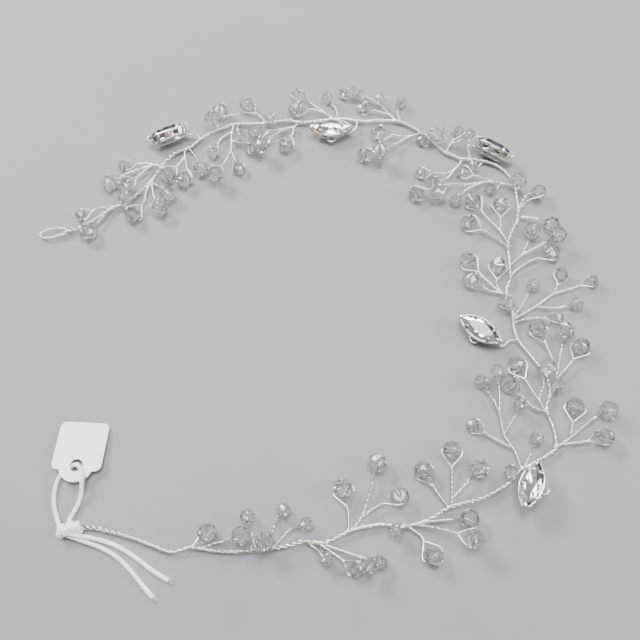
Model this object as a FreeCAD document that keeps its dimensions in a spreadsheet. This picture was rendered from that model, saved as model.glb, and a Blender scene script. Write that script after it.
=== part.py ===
"""Crystal hair vine: twisted silver wire with bead sprays and navette stones, laid out flat in a ring."""
import FreeCAD, Part
import Sketcher
import math
import os
from FreeCAD import Placement, Rotation, Vector

os.makedirs("parts", exist_ok=True)
doc = FreeCAD.newDocument("crystal_hair_vine")

# ---- driving sizes, in millimetres and degrees ----
DIMENSIONS = [
    ("ring_length", 194.0, "the whole vine along X as it lies"),
    ("ring_depth", 183.0, "the whole vine along Y as it lies"),
    ("vine_wire", 1.1, "bundle of strands that is the main vine"),
    ("stem_wire", 0.66, "one stem: a wire doubled and twisted"),
    ("loop_wire", 0.34, "single wire, as it goes through a bead"),
    ("vine_height", 1.6, "axis of the main vine above the table"),
    ("large_bead", 6.0, "large bicone across its waist"),
    ("small_bead", 4.4, "small bicone across its waist"),
    ("bead_slenderness", 0.9, "length of a bead over its waist"),
    ("shoulder_height", 0.6, "where a bead's facets turn, as a share of its half length"),
    ("shoulder_width", 0.76, "width of a bead there, as a share of its waist"),
    ("bead_bore", 0.9, "hole through a bead"),
    ("bead_rim", 0.32, "flat land around the hole"),
    ("split", 1.8, "from the bead to where its two wires meet"),
    ("bead_gap", 0.35, "least space from a bead to anything else"),
    ("hinge_gap", 0.3, "space between two lengths of vine"),
    ("open_angle", 8.0, "most that a hinge opens the ring"),
    ("close_angle", 4.0, "most that a hinge closes the ring"),
    ("stone_length", 15.0, "navette crystal, tip to tip"),
    ("stone_width", 7.0, "navette crystal across"),
    ("crown", 1.7, "crystal above its girdle"),
    ("pavilion", 2.5, "crystal below its girdle"),
    ("seat_gap", 0.05, "between crystal and setting"),
    ("setting_wall", 0.45, "sheet metal of the setting"),
    ("setting_foot", 0.88, "outline of the setting's base as a share of its lip"),
    ("window_length", 2.6, "opening in the setting's side wall"),
    ("window_height", 1.1, "the same opening, up and down"),
    ("claw_width", 0.9, "claw that holds the crystal"),
    ("claw_sink", 0.45, "how far a claw reaches below the girdle"),
    ("side_loop", 1.5, "radius of the wire loop at a setting's side"),
    ("side_loop_wire", 0.5, "wire of that loop"),
    ("pin_spare", 0.6, "wire beyond the end of the setting's channel"),
    ("stone_sway", 8.0, "how far a stone rocks each way on its wire"),
    ("channel_gap", 0.06, "round the wire in the setting's channel"),
    ("string_size", 1.4, "cotton string"),
    ("swing_out", 15.0, "how far the string swings away from the vine"),
    ("swing_in", 4.0, "how far it swings towards the vine"),
    ("tag_width", 15.2, "price tag across"),
    ("tag_length", 15.4, "price tag's square part"),
    ("tag_margin", 1.6, "from the hole's middle to the square part's edge"),
    ("tag_lug", 3.6, "rounded end beyond the square part"),
    ("tag_card", 0.45, "thickness of the card"),
    ("tag_hole", 3.9, "hole for the string"),
    ("tag_corner", 2.0, "radius of the card's corners"),
]
sheet = doc.addObject("Spreadsheet::Sheet", "sizes")
for row, (alias, value, meaning) in enumerate(DIMENSIONS, 1):
    sheet.set(f"A{row}", meaning)
    sheet.set(f"B{row}", str(value))
    sheet.setAlias(f"B{row}", alias)
doc.recompute()
size = {alias: float(sheet.get(alias)) for alias, value, meaning in DIMENSIONS}

LAID_LENGTH = 194.0  # the layout below is drawn for a ring of this length and depth
LAID_DEPTH = 183.0
LAID_BEADS = {"large": 6.0, "small": 4.4}  # a larger bead grows away from its stem
MIDDLE = (-2.3, 9.4)  # middle of the layout, which becomes the origin
VIEWPOINT = (0, -99.3, 213)  # the layout is drawn as it looks from here, at the height of a resting bead
RESTING = 2.5
WOUND_ON = 1.5  # the end of a stem that lies against the wire which carries it
HEIGHT_STEP = 0.4

# ---- layout ----
# The vine runs clockwise from its free end at the left to the tagged end. Each length of vine has the
# route of its wire, then its stems. A stem starts at its bead: size, how the bead's hole lies, the bead's
# place, any bends, and the point of the vine or of an earlier stem where it is wound on.
SECTIONS = {
    "first": {
        "route": [(-90, 33.8), (-85.8, 35), (-81.3, 38.2), (-74.7, 43.6), (-70.3, 45.5), (-66, 50),
                  (-61.5, 56), (-58, 63.2), (-53.5, 68.6), (-49, 70.8), (-45, 74.9), (-42, 77.3)],
        "stems": [
            ("small", 0, (-85.2, 40), (-79.5, 43), (-73, 45)),
            ("large", 60, (-81.9, 33.2), (-78.5, 37.5), (-75.3, 42.4)),
            ("small", 90, (-70.6, 47.2), (-66.6, 49.4)),
            ("large", 30, (-66.8, 40.2), (-63.2, 46), (-62.8, 51), (-61.6, 55.6)),
            ("small", 0, (-72.4, 61.9), (-65, 62.8), (-58.5, 62.6)),
            ("large", 70, (-77, 54), (-70.5, 58.4), (-62, 61)),
            ("large", 20, (-70.9, 53), (-66.2, 57.4), (-61.8, 60.9)),
            ("large", 80, (-55.2, 49.1), (-58.6, 52.6), (-61.2, 55)),
            ("large", 30, (-57.6, 43.2), (-60.2, 49), (-61.6, 54.6)),
            ("large", 40, (-55.8, 57.5), (-52.2, 62), (-50.4, 66), (-50.5, 70)),
            ("large", 0, (-49.9, 55.6), (-48.9, 60.5), (-49.9, 68)),
            ("large", 80, (-44, 60.6), (-46.3, 66), (-49.2, 70.6)),
        ],
        "stone": {"centre": (-57.2, 75.4), "turn": 24, "tilt": -62, "height": 4.8,
                  "side": 1, "lead": [(-45, 74.9)]},
    },
    "second": {
        "route": [(-42, 77.3), (-37.5, 79.9), (-32.7, 81.9), (-23, 82.1), (-12.5, 83.7), (-6.6, 82.7),
                  (0, 83.6), (7.6, 84.6), (16, 83.3)],
        "stems": [
            ("small", 0, (-29.8, 60.2), (-32.7, 68.3), (-33.3, 75.5), (-33, 81.5)),
            ("large", 30, (-38.4, 58), (-35.3, 63), (-33, 70)),
            ("small", 60, (-40, 67.7), (-37, 74.5), (-33.5, 78.3)),
            ("small", 90, (-26, 69.7), (-29.5, 72), (-33, 74)),
            ("small", 90, (-30.3, 75.6), (-31.4, 79), (-31.4, 82)),
            ("large", 60, (-38.6, 87.6), (-34, 86.2), (-29.5, 85.9), (-22.5, 82.2)),
            ("large", 20, (-41.4, 83.8), (-36, 84.8), (-31, 85.6)),
            ("large", 10, (-28.4, 90.8), (-24.5, 86.5), (-20, 82.5)),
            ("small", 90, (-19.3, 83.9), (-15.2, 83.3)),
            ("large", 30, (-24.6, 77.5), (-15, 78.7), (-9.8, 80), (-8, 82.8)),
            ("large", 60, (-22, 71.2), (-17.6, 75.8), (-11.6, 79.4)),
            ("large", 10, (-12.9, 71.3), (-10, 77), (-9.2, 80.6)),
            ("large", 80, (-8.5, 95.2), (-2, 90.2), (5.2, 84.6)),
            ("large", 0, (-9.3, 88.4), (-3, 88.4), (2.3, 86.5)),
            ("small", 90, (2.8, 94.4), (6.2, 88.5), (7, 84.6)),
        ],
        "stone": {"centre": (4.2, 77.4), "turn": 3, "tilt": 14, "height": 5.2, "side_loop": True,
                  "side": 1, "lead": [(14.6, 83.4)]},
    },
    "third": {
        "route": [(16, 83.3), (22, 83.7), (30.5, 83.2), (34.6, 80.9), (40.8, 75.7), (46.6, 68.9),
                  (50.3, 66.8)],
        "stems": [
            ("small", 0, (9.3, 96.5), (16.5, 94.3), (21.4, 92), (25, 88), (29.5, 83.6)),
            ("small", 90, (14.2, 98), (17, 95.2), (21, 92.3)),
            ("small", 60, (23.4, 94.2), (25.2, 88)),
            ("small", 40, (16.2, 89), (22.4, 87.4), (27, 86)),
            ("small", 90, (31.5, 92.3), (29.7, 87), (31, 83.1)),
            ("small", 20, (38.2, 73.6), (41.6, 74.8)),
            ("large", 30, (22, 76.9), (31, 75.3), (36.2, 76), (38.2, 77.9)),
            ("large", 0, (16.6, 66.8), (27, 70.8), (35, 75.2)),
            ("large", 60, (22.3, 68.6), (29.4, 72.4)),
            ("large", 80, (43.8, 76.4), (48.6, 74.6), (47.6, 68.6)),
            ("small", 20, (52.6, 77.8), (50.2, 73.4), (48, 68.8)),
            ("small", 70, (56.6, 76.2), (52.2, 73.6), (49.8, 71.2)),
        ],
    },
    "fourth": {
        "route": [(50.3, 66.8), (51.8, 65.7), (56, 65.2), (61.7, 64.3), (66.1, 62.1), (70.1, 57.1),
                  (71.2, 53), (71.4, 46), (71.2, 41.3)],
        "stems": [
            ("small", 60, (56.6, 62), (61, 63.9)),
            ("small", 0, (37, 58.6), (46.5, 58.2), (51, 61.5), (53.2, 65.2)),
            ("small", 90, (41.2, 54.9), (47, 56.4), (51.6, 61.2)),
            ("small", 20, (52.4, 59), (59, 56.5), (65.4, 54), (71, 53.4)),
            ("large", 0, (34.9, 49.2), (45.5, 53.2), (54, 53.5), (63.4, 54.8)),
            ("large", 70, (42.8, 49.6), (47.5, 52.8)),
            ("small", 90, (49, 46.8), (53.5, 51.2), (60, 54.4)),
            ("small", 60, (62, 51.3), (66.6, 54)),
            ("large", 90, (72.6, 54.9), (74.7, 49), (72, 43.8)),
            ("large", 40, (79.2, 49.9), (75.6, 46.7), (72, 43.2)),
        ],
        "stone": {"centre": (64.6, 68.4), "turn": -35, "tilt": -60, "height": 4.8,
                  "side": -1, "lead": [(55.4, 68.3), (56, 65.2)]},
    },
    "fifth": {
        "route": [(71.2, 41.3), (69.2, 35.8), (66.3, 30), (65.6, 22), (65.2, 15), (63.2, 9.6), (64.3, 5.6),
                  (64.6, 3.4)],
        "stems": [
            ("large", 30, (55, 46.6), (59, 39.6), (63.6, 33.2), (66.1, 28.6)),
            ("large", 0, (65, 44.8), (64.1, 37.5), (63.7, 33.4)),
            ("large", 20, (52.7, 37), (60, 32.1), (65.8, 27.4)),
            ("large", 60, (82.2, 36), (77.5, 38.5), (71.5, 39.1), (70, 37.6)),
            ("large", 70, (83.7, 31.9), (77, 27.7), (70.4, 24), (65.6, 20)),
            ("large", 90, (74.9, 33.7), (72.2, 27.6), (70.1, 24)),
            ("large", 10, (80.6, 24.7), (72, 20.8), (67, 17.3), (65.3, 15.4)),
            ("large", 20, (51, 21.5), (56.5, 14), (61.4, 8.7), (63.4, 8.6)),
            ("large", 50, (51.4, 13.9), (57, 9.9), (61.8, 7.6)),
            ("large", 0, (61.2, 19.6), (60, 12), (61.2, 8.9)),
            ("large", 90, (62.5, 5), (63.8, 7.4)),
        ],
    },
    "sixth": {
        "route": [(64.6, 3.4), (64.3, -3), (65, -8), (69, -14.5), (72.4, -20.6), (73.1, -26), (71.2, -32),
                  (72.5, -38), (72.2, -44.4), (69.4, -46.4)],
        "stems": [
            ("small", 90, (72.5, 12), (69.4, 6.8), (64.6, -0.4)),
            ("small", 20, (92.8, 13.4), (85, 10.5), (79, 8.5), (73, 4.3), (64.6, -0.6)),
            ("small", 0, (82.7, 16.4), (80.4, 11), (79.2, 8.6)),
            ("small", 90, (86.3, 4.9), (79, 3.2), (72.3, 3.8)),
            ("small", 30, (78.8, -0.5), (71, -0.4), (64.3, -1.6)),
            ("large", 0, (71.7, -4.3), (74.3, -12), (75.9, -20.5), (72.9, -27.5)),
            ("large", 70, (81, -4.9), (78.4, -12), (76, -20)),
            ("large", 20, (85.2, -10.8), (80, -17.5), (75.7, -22.5)),
            ("large", 60, (73.4, -17.6), (71, -24), (69, -29.2), (71.2, -32.6)),
            ("large", 10, (63.3, -17), (66.3, -24), (69, -29.6)),
            ("small", 90, (75.6, -23.8), (73, -28.8)),
            ("large", 40, (59.9, -23), (64, -28), (67, -31.6), (71, -32.6)),
            ("large", 80, (90.6, -32.2), (84.5, -35.4), (77.2, -41), (72.2, -44)),
            ("large", 10, (80.1, -31), (78, -37.5), (77, -41)),
            ("large", 30, (87.8, -40.8), (80, -42.6), (74.4, -43.6)),
        ],
        "stone": {"centre": (52.2, -5.6), "turn": -37, "tilt": 12, "height": 5.2, "side_loop": True,
                  "side": 1, "lead": [(62.4, -8.4), (65, -8)]},
    },
    "seventh": {
        "route": [(69.4, -46.4), (65.5, -48.8), (61, -50.8), (57.5, -54.4), (53, -57.2), (47.6, -59.7)],
        "stems": [
            ("small", 70, (51.5, -22.6), (54.4, -28.5), (56, -33.5), (56.6, -40), (59.4, -45.5), (61, -50.6)),
            ("small", 90, (57, -19.2), (56.5, -27), (56, -33)),
            ("small", 80, (63, -30.2), (60.8, -34), (56.8, -39.8)),
            ("small", 30, (47.4, -37), (52.8, -41), (58.6, -44.6)),
            ("small", 90, (66.7, -41.2), (64, -46), (61.8, -50.4)),
            ("small", 40, (57.4, -51.6), (60.4, -51.3)),
        ],
        "stone": {"centre": (61.9, -56.2), "turn": 68, "tilt": -26, "height": 7, "side_loop": True,
                  "side": 1, "lead": [(67.9, -47.3)]},
    },
    "eighth": {
        "route": [(47.6, -59.7), (38.6, -61.9), (31.5, -65.8), (24.5, -67.4), (17.5, -67), (9.5, -68.4),
                  (4.8, -70.5)],
        "stems": [
            ("large", 0, (40.3, -44.8), (39.4, -55), (38.9, -61.7)),
            ("large", 70, (48.2, -50.6), (43, -55.8), (39.3, -59.5)),
            ("large", 30, (31.1, -51), (34.6, -57.6), (38, -62)),
            ("large", 80, (43.9, -65.4), (36, -65.8), (28.5, -66.5)),
            ("large", 20, (44.9, -71), (36, -68.4), (27.5, -66.8)),
            ("large", 0, (32.7, -76), (29.2, -70.2), (25.5, -67.3)),
            ("small", 90, (22.2, -68.6), (26.8, -66.9)),
            ("large", 80, (17.5, -48.8), (14.6, -58.4), (12, -65), (8.8, -68.6)),
            ("large", 40, (23.7, -59), (17, -61.6), (12, -65)),
            ("large", 10, (6.8, -56.5), (8.2, -64), (8.2, -68.8)),
        ],
    },
    "ninth": {
        "route": [(4.8, -70.5), (1, -72), (-5, -71.7), (-10, -73), (-16, -73.8), (-24, -74.5), (-31, -74.2),
                  (-37, -73.3), (-43, -74.6)],
        "stems": [
            ("small", 20, (10.3, -79.6), (4, -75.2), (-1, -72)),
            ("small", 60, (17.2, -77.6), (11, -75.9), (5, -74), (-0.4, -72)),
            ("small", 0, (14.2, -78.6), (10.6, -75.7)),
            ("small", 80, (1.8, -76.4), (-3.6, -72)),
            ("small", 90, (-4.1, -66.8), (-9, -68.6), (-14, -73.4)),
            ("small", 60, (-10.7, -63.1), (-13.6, -68.2), (-15, -73.6)),
            ("small", 90, (-21.4, -64.6), (-19.7, -70), (-18.6, -73.9)),
            ("large", 30, (-15.9, -71.6), (-22.4, -74.2)),
            ("large", 70, (-23, -70.2), (-30, -72), (-35, -73.4)),
            ("large", 50, (-32.7, -69.2), (-37.6, -73.2)),
        ],
    },
    "last": {
        "route": [(-43, -74.6), (-48, -73), (-55, -70.5), (-62, -68.7), (-68, -67.6), (-74.2, -68.6)],
        "stems": [],
    },
}
EYE = [(-89.4, 33.9), (-94.4, 35.1), (-98.7, 32.6), (-95, 31.3)]  # narrow loop at the free end

STRING_ROUTES = {
    # knot, left leg, under the card, up through its hole, over the card and back to the knot
    "string_loop": [(-75.9, -67.9, 1.9), (-77.5, -65.4, 0.8), (-79.4, -60.9, 0.72), (-79.9, -56, 0.72),
                    (-78.6, -51.8, 0.72), (-76.2, -49.9, 0.8), (-74.4, -49.2, 2.0), (-73, -49.6, 3.4),
                    (-71.4, -51.6, 3.9), (-70.8, -54.9, 3.8), (-71.2, -58.9, 1.6), (-72.4, -62.2, 0.8),
                    (-73.6, -65.4, 1.9)],
    "string_tail_long": [(-73.2, -70.1, 1.9), (-69, -71.5, 1.2), (-64.2, -73, 0.72), (-59.2, -75.4, 0.72),
                         (-55, -78.8, 0.72), (-51.5, -82.5, 0.72), (-47.2, -86.8, 0.72)],
    "string_tail_short": [(-74, -69.7, 3.1), (-69.4, -70.2, 2.3), (-63.6, -71.2, 0.8), (-58, -73.2, 0.72),
                          (-52.6, -76.4, 0.72), (-47.8, -79.9, 0.72), (-43.2, -82.3, 0.72)],
}
KNOT = {"centre": (-72.9, -68.4, 2.2), "half": (4.0, 2.3, 2.1), "past_end": 0.9, "tunnel": 8.4}
TAG = {"hole": (-73.8, -49.6), "turn": -3, "tilt": -5.5, "height": 1.95, "shoulder": 0.66}


def laid(x, y, z=0.0):
    """A point of the layout in the part's own frame, stretched with the ring's two sizes."""
    return Vector((x - MIDDLE[0]) * size["ring_length"] / LAID_LENGTH,
                  (y - MIDDLE[1]) * size["ring_depth"] / LAID_DEPTH, z)


def flat_distance(a, b):
    return math.hypot(a.x - b.x, a.y - b.y)


def points_along(path, step=0.6):
    """Points close together on a line of straight runs."""
    points = [path[0]]
    for a, b in zip(path, path[1:]):
        count = max(1, math.ceil((b - a).Length / step))
        points += [a + (b - a) * (k / count) for k in range(1, count + 1)]
    return points


def turned(point, centre, degrees):
    """The point after a turn about the upright line through the centre."""
    return centre + Rotation(Vector(0, 0, 1), degrees).multVec(point - centre)


# ---- laying the vine out ----
section_names = list(SECTIONS)
hinges = [laid(*SECTIONS[name]["route"][-1], size["vine_height"]) for name in section_names[:-1]]
obstacles = []  # (section number, points, their radius, how much room they need, box)


def add_obstacle(section, points, radius, gap):
    """Remember a laid piece, with a box around it that speeds up the tests."""
    reach = radius + gap
    low = Vector(min(p.x for p in points) - reach, min(p.y for p in points) - reach, 0)
    high = Vector(max(p.x for p in points) + reach, max(p.y for p in points) + reach, 0)
    obstacles.append((section, points, radius, gap, low, high))


def far_apart(points, radius, low, high):
    return (max(p.x for p in points) + radius < low.x or min(p.x for p in points) - radius > high.x
            or max(p.y for p in points) + radius < low.y or min(p.y for p in points) - radius > high.y)


def is_clear(section, points, radius, skip=()):
    """Whether a piece clears all that is laid, at rest and with the next lengths turned to their limits."""
    for number, (other, others, thickness, gap, low, high) in enumerate(obstacles):
        if number in skip or (other != section and abs(other - section) > 1):
            continue
        if other == section:
            poses = [points]
        else:
            hinge = hinges[min(section, other)]
            sign = 1 if section > other else -1
            poses = [[turned(p, hinge, sign * angle) for p in points]
                     for angle in (0, size["open_angle"], -size["close_angle"])]
        for pose in poses:
            if far_apart(pose, radius, low, high):
                continue
            for p in pose:
                if any((p - q).Length < radius + thickness + gap for q in others):
                    return False
    return True


def nearest_on(paths, target):
    """The point of these wires that is nearest to the target in plan, with its own height."""
    return min((p for path in paths for p in points_along(path, 0.3)), key=lambda p: flat_distance(p, target))


def raised(flat_points, start_height, end_height):
    """The points with their height going evenly from the first to the last."""
    lengths = [0.0]
    for a, b in zip(flat_points, flat_points[1:]):
        lengths.append(lengths[-1] + flat_distance(a, b))
    return [Vector(p.x, p.y, start_height + (end_height - start_height) * done / lengths[-1])
            for p, done in zip(flat_points, lengths)]


def seen_alike(points):
    """The points, each moved along its line to the viewpoint as far as it is above a resting bead."""
    eye = laid(*VIEWPOINT)
    return [p + (eye - p) * ((p.z - RESTING) / eye.z) - Vector(0, 0, (eye.z - p.z) * (p.z - RESTING) / eye.z)
            for p in points]


def lens_half_width(x, length, width):
    """Half the width of a navette outline at x along it: two arcs that meet at its tips."""
    radius = (length ** 2 + width ** 2) / (4 * width)
    return math.sqrt(max(radius ** 2 - x ** 2, 0.0)) - (radius - width / 2)


stem_radius = size["stem_wire"] / 2
loop_radius = size["loop_wire"] / 2
channel_bore = stem_radius + size["channel_gap"]
channel_tube = channel_bore + size["setting_wall"]
base_depth = size["pavilion"] + size["setting_wall"]
channel_depth = base_depth + channel_bore + size["setting_wall"] / 3  # the tube's top sinks into the base
channel_half = size["stone_length"] / 4


def stone_placement(stone):
    """Where a stone's girdle lies: turned in plan, then tilted about its own length."""
    turn = Rotation(Vector(0, 0, 1), stone["turn"])
    return Placement(laid(*stone["centre"], stone["height"]),
                     turn.multiply(Rotation(Vector(1, 0, 0), stone["tilt"])))


def lay_stone(section, stone, core):
    """The wire that carries a stone: straight through the channel, then back to the vine."""
    place = stone_placement(stone)
    end = stone["side"] * (size["stone_length"] / 2 + size["setting_wall"] + size["pin_spare"])
    start = -stone["side"] * (channel_half + size["pin_spare"])
    pin = [place.multVec(Vector(x, 0, -channel_depth)) for x in (start, end)]
    bends = [laid(*p) for p in stone["lead"]]
    root = nearest_on([core], bends[-1])
    lead = raised([pin[1]] + bends[:-1] + [root], pin[1].z, root.z)
    half = size["stone_length"] / 2
    thick = (base_depth + size["crown"]) / 2
    body = []
    for x in (half * k / 8 for k in range(-8, 9)):
        room = max(lens_half_width(x, 2 * half, size["stone_width"]) + size["setting_wall"] - thick, 0)
        body += [place.multVec(Vector(x, room * side, size["crown"] - thick)) for side in (-1, 0, 1)]
    sway = math.radians(size["stone_sway"]) * size["stone_width"] / 2
    add_obstacle(section, body, thick, sway + size["bead_gap"])
    add_obstacle(section, points_along(pin + lead[1:]), stem_radius, size["bead_gap"])
    return pin + lead[1:]


def lay_stem(section, stem, wires):
    """Lay one bead with its stem, as low as it clears all that is there. Returns what describes it."""
    kind, lean, *route = stem
    bead = size["large_bead" if kind == "large" else "small_bead"]
    flat = [laid(*p) for p in route]
    grown = (bead - LAID_BEADS[kind]) / 2
    flat[0] += (flat[0] - flat[1]).normalize() * grown
    root = nearest_on(wires, flat[-1])
    flat[-1] = root
    hole_reach = bead * size["bead_slenderness"] / 2 + 1.5 * size["loop_wire"]
    height = max(bead / 2, hole_reach * math.sin(math.radians(lean)) + size["loop_wire"])
    for attempt in range(40):
        path = seen_alike(raised(flat, height, root.z)[:-1]) + [root]
        centre = path[0]
        toward = (path[1] - centre).normalize()
        reach = min(bead / 2 + size["split"], (path[1] - centre).Length - stem_radius)
        path[0] = centre + toward * reach
        wire = points_along(path)
        free = [p for p in wire if (p - root).Length > WOUND_ON] or wire[:1]
        own_wires = [n for n in wire_numbers if obstacles[n][0] == section]
        if is_clear(section, [centre], bead / 2) and is_clear(section, free, stem_radius, own_wires):
            break
        height += HEIGHT_STEP
    else:
        print("no clear height for the bead at", route[0])
    across = Vector(-toward.y, toward.x, 0).normalize()
    hole = Rotation(toward, lean).multVec(across)
    add_obstacle(section, [centre], bead / 2, size["bead_gap"])
    wire_numbers.add(len(obstacles))
    add_obstacle(section, wire, stem_radius, size["bead_gap"])
    return {"kind": kind, "bead": bead, "grown": grown, "centre": centre, "hole": hole,
            "toward": toward, "reach": reach, "path": path}


wire_numbers = set()
cores = {}
stone_wires = {}
stems = {}
for number, name in enumerate(section_names):
    core = [laid(*p, size["vine_height"]) for p in SECTIONS[name]["route"]]
    half_gap = size["hinge_gap"] / 2
    if number > 0:
        core[0] = core[0] + (core[1] - core[0]).normalize() * half_gap
    if number < len(section_names) - 1:
        core[-1] = core[-1] + (core[-2] - core[-1]).normalize() * half_gap
    cores[name] = core
    wire_numbers.add(len(obstacles))
    add_obstacle(number, points_along(core), size["vine_wire"] / 2, size["bead_gap"])
for number, name in enumerate(section_names):
    if "stone" in SECTIONS[name]:
        stone_wires[name] = lay_stone(number, SECTIONS[name]["stone"], cores[name])
for number, name in enumerate(section_names):
    wires = [cores[name]]
    stems[name] = []
    for stem in SECTIONS[name]["stems"]:
        laid_stem = lay_stem(number, stem, wires)
        if laid_stem["centre"].z > 7:
            print("high bead", name, stem[2], round(laid_stem["centre"].z, 1))
        wires.append(laid_stem["path"])
        stems[name].append(laid_stem)

# ---- pieces ----
kept = []


def keep(piece, label):
    """Give a sub-part its name, which is also its file's name."""
    piece.Label = label
    kept.append(piece)
    return piece


def mitred_rod(path, diameter, closed=False):
    """A rod of eight flat sides along straight runs, mitred at each bend. No single sweep does this
    on a line that bends in all three directions, so its faces are made one by one."""
    radius = diameter / 2
    ends = path[1:] + path[:1] if closed else path[1:]
    runs = [(b - a).normalize() for a, b in zip(path, ends)]
    first = Rotation(Vector(0, 0, 1), runs[0])
    turns = [Rotation(Vector(0, 0, 1), k * 45) for k in range(8)]
    ring = [path[0] + first.multVec(turn.multVec(Vector(radius, 0, 0))) for turn in turns]

    def on_mitre(points, run, corner, before, after):
        normal = (before + after).normalize()
        return [p + run * ((corner - p).dot(normal) / run.dot(normal)) for p in points]

    if closed:
        ring = on_mitre(ring, runs[0], path[0], runs[-1], runs[0])
    rings = [ring]
    for k, corner in enumerate(ends):
        after = runs[(k + 1) % len(runs)] if closed or k + 1 < len(runs) else runs[k]
        rings.append(on_mitre(rings[-1], runs[k], corner, runs[k], after))
    faces = []
    for near, far in zip(rings, rings[1:]):
        for k in range(8):
            faces.append(Part.Face(Part.makePolygon([near[k], near[k - 1], far[k - 1], far[k], near[k]])))
    if not closed:
        faces += [Part.Face(Part.makePolygon(r + r[:1])) for r in (rings[0], rings[-1])]
    shell = Part.Shell(faces)
    shell.sewShape()
    solid = Part.Solid(shell)
    if solid.Volume < 0:
        solid.reverse()
    return solid


def wire_piece(name, path, diameter, closed=False):
    wire = doc.addObject("Part::Feature", name)
    wire.Shape = mitred_rod(path, size[diameter], closed)
    return wire


def cut_bead(name, diameter):
    """The pattern for one size of bead: two rows of eight facets on each half, and a bore."""
    rings = []
    for side, spot in ((-1, "mouth"), (-1, "shoulder"), (0, "waist"), (1, "shoulder"), (1, "mouth")):
        ring = doc.addObject("Part::RegularPolygon", f"{name}_{spot}_{side}")
        ring.Polygon = 8
        width, share = {"mouth": ("sizes.bead_bore / 2 + sizes.bead_rim", "1"),
                        "shoulder": (f"sizes.{diameter} / 2 * sizes.shoulder_width", "sizes.shoulder_height"),
                        "waist": (f"sizes.{diameter} / 2", "0")}[spot]
        ring.setExpression("Circumradius", width)
        half = f"sizes.{diameter} * sizes.bead_slenderness / 2"
        ring.setExpression("Placement.Base.z", f"{side} * {share} * {half}")
        rings.append(ring)
    glass = doc.addObject("Part::Loft", name + "_glass")
    glass.Sections = rings
    glass.Solid = True
    glass.Ruled = True
    bore = doc.addObject("Part::Cylinder", name + "_bore")
    bore.setExpression("Radius", "sizes.bead_bore / 2")
    bore.setExpression("Height", f"2 * sizes.{diameter}")
    bore.setExpression("Placement.Base.z", f"-sizes.{diameter}")
    bead = doc.addObject("Part::Cut", name)
    bead.Base = glass
    bead.Tool = bore
    return bead


def compound(name, pieces):
    group = doc.addObject("Part::Compound", name)
    group.Links = pieces
    return group


def bead_loop(stem):
    """The single wire from the twist to both mouths of the bead's hole, and through it."""
    half = stem["bead"] * size["bead_slenderness"] / 2 + size["loop_wire"]
    rim = size["bead_bore"] / 2 + size["bead_rim"] + size["loop_wire"] + stem["grown"]
    centre, hole, toward = stem["centre"], stem["hole"], stem["toward"]
    corner = toward * rim
    return [centre + toward * stem["reach"], centre + corner + hole * half,
            centre + hole * half, centre - hole * half, centre + corner - hole * half]


patterns = {"large": cut_bead("large_bead_pattern", "large_bead"),
            "small": cut_bead("small_bead_pattern", "small_bead")}
for name in section_names:
    keep(wire_piece(f"vine_wire_{name}", cores[name], "vine_wire"), f"vine_wire_{name}")
    wires = []
    for number, stem in enumerate(stems[name], 1):
        wires.append(wire_piece(f"stem_{name}_{number}", stem["path"], "stem_wire"))
        wires.append(wire_piece(f"loop_{name}_{number}", bead_loop(stem), "loop_wire", closed=True))
    if name in stone_wires:
        wires.append(wire_piece(f"stone_wire_{name}", stone_wires[name], "stem_wire"))
    if wires:
        keep(compound(f"stem_wires_{name}", wires), f"stem_wires_{name}")
    for kind, pattern in patterns.items():
        threaded = []
        for number, stem in enumerate(s for s in stems[name] if s["kind"] == kind):
            bead = doc.addObject("App::Link", f"{kind}_bead_{name}_{number}")
            bead.LinkedObject = pattern
            bead.Placement = Placement(stem["centre"], Rotation(Vector(0, 0, 1), stem["hole"]))
            threaded.append(bead)
        if threaded:
            keep(compound(f"{kind}_beads_{name}", threaded), f"{kind}_beads_{name}")
eye = [laid(*p, size["vine_height"]) for p in EYE]
keep(wire_piece("end_eye", eye, "stem_wire", closed=True), "end_eye")


def lens_wire(name, length, width, height):
    """A navette outline of straight facets between two arcs, at a height."""
    facets = 5
    stations = [-length / 2 * math.cos(math.pi * k / facets) for k in range(facets + 1)]
    upper = [Vector(x, lens_half_width(x, length, width), height) for x in stations]
    lower = [Vector(x, -lens_half_width(x, length, width), height) for x in reversed(stations[1:-1])]
    outline = doc.addObject("Part::Polygon", name)
    outline.Nodes = upper + lower
    outline.Close = True
    return outline


def ruled_loft(name, outlines):
    solid = doc.addObject("Part::Loft", name)
    solid.Sections = outlines
    solid.Solid = True
    solid.Ruled = True
    return solid


# shares of the crystal's length and width, and the height of its edge
CULET = 0.3
TABLE = (0.62, 0.58)
GIRDLE = 0.3
CLAW_PLACES = [(-0.27, 1), (0.27, 1), (-0.27, -1), (0.27, -1), (-0.5, 0), (0.5, 0)]
CLAW_SPLAY = 0.12
FACET_SPARE = 0.03


def crystal(name):
    """Navette: culet, girdle and table, joined by flat facets."""
    length, width = size["stone_length"], size["stone_width"]
    return ruled_loft(name, [
        lens_wire(name + "_culet", length * CULET, width * CULET, -size["pavilion"]),
        lens_wire(name + "_girdle", length, width, 0),
        lens_wire(name + "_girdle_top", length, width, GIRDLE),
        lens_wire(name + "_table", length * TABLE[0], width * TABLE[1], size["crown"]),
    ])


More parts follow.
